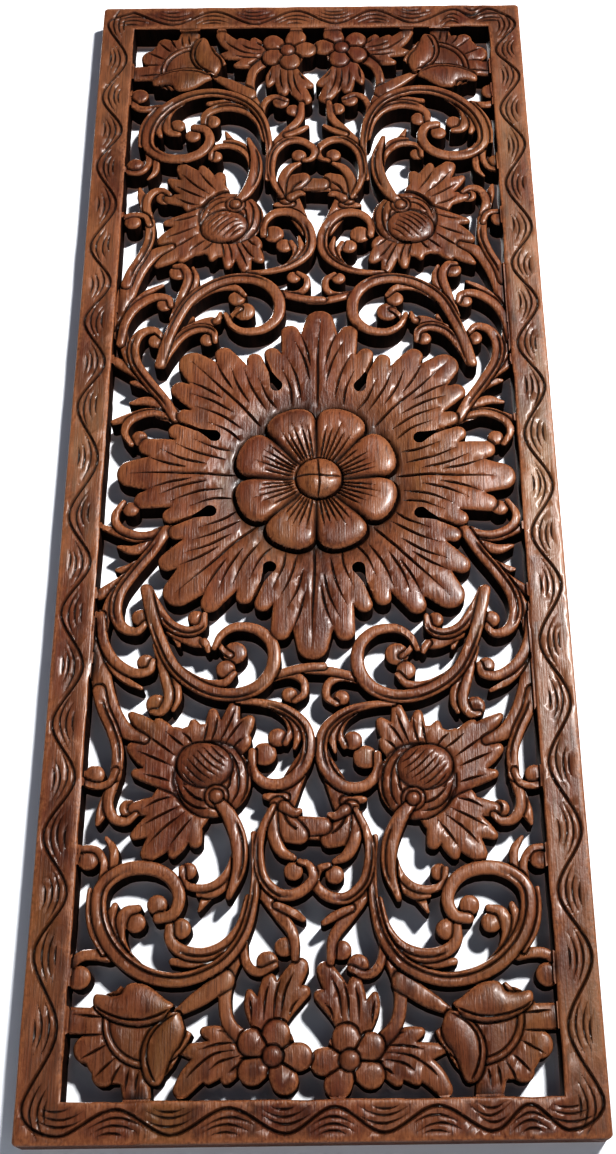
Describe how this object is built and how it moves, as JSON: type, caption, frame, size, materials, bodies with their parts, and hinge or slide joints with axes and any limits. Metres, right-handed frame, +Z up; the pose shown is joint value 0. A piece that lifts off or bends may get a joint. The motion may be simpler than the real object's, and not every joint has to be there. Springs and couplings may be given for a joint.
{
  "type": "carved wall panel",
  "caption": "Upright openwork panel of carved teak for a wall: a plain border around scrolling stems, corner flowers and a central leaf rosette.",
  "frame": {"origin": "centre of the flat back of the board", "axes": "+Z up along the panel's length, +Y into the wall, -Y the carved face, +X right"},
  "size_m": [0.35, 0.02, 0.9],
  "materials": {
    "teak": "reddish-brown stained teak with a satin lacquer, darker in the cuts"
  },
  "bodies": {
    "root": {"carved_panel": "teak"}
  },
  "joints": []
}
